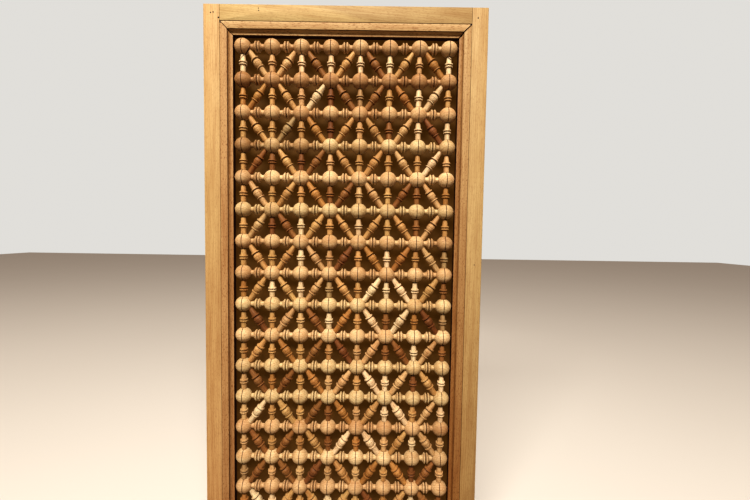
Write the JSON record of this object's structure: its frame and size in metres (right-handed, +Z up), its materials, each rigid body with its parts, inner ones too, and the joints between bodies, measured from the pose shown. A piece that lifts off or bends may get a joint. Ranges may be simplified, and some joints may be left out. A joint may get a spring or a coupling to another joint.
{
  "type": "mashrabiya screen",
  "caption": "Framed mashrabiya screen of turned wood: rods of balls joined by short uprights and slanting beaded spindles, in a mitred coved moulding and a plain board frame.",
  "frame": {"origin": "middle of the bottom rail's underside, halfway through the frame's thickness", "axes": "+X to the right as seen from the front, -Y out of the front towards the viewer, +Z up"},
  "size_m": [0.38, 0.028, 0.762],
  "materials": {
    "board_wood": "planed, lightly oiled, satin",
    "moulding_wood": "planed, lightly oiled, satin",
    "turned_wood": "turned, burnished on the lathe, satin"
  },
  "bodies": {
    "root": {"stile_left": "board_wood", "stile_right": "board_wood", "rail_top": "board_wood", "rail_bottom": "board_wood", "moulding_top": "moulding_wood", "moulding_bottom": "moulding_wood", "moulding_right": "moulding_wood", "moulding_left": "moulding_wood", "lattice_row_01": "turned_wood", "lattice_row_02": "turned_wood", "lattice_row_03": "turned_wood", "lattice_row_04": "turned_wood", "lattice_row_05": "turned_wood", "lattice_row_06": "turned_wood", "lattice_row_07": "turned_wood", "lattice_row_08": "turned_wood", "lattice_row_09": "turned_wood", "lattice_row_10": "turned_wood", "lattice_row_11": "turned_wood", "lattice_row_12": "turned_wood", "lattice_row_13": "turned_wood", "lattice_row_14": "turned_wood", "lattice_row_15": "turned_wood", "lattice_row_16": "turned_wood"}
  },
  "joints": []
}
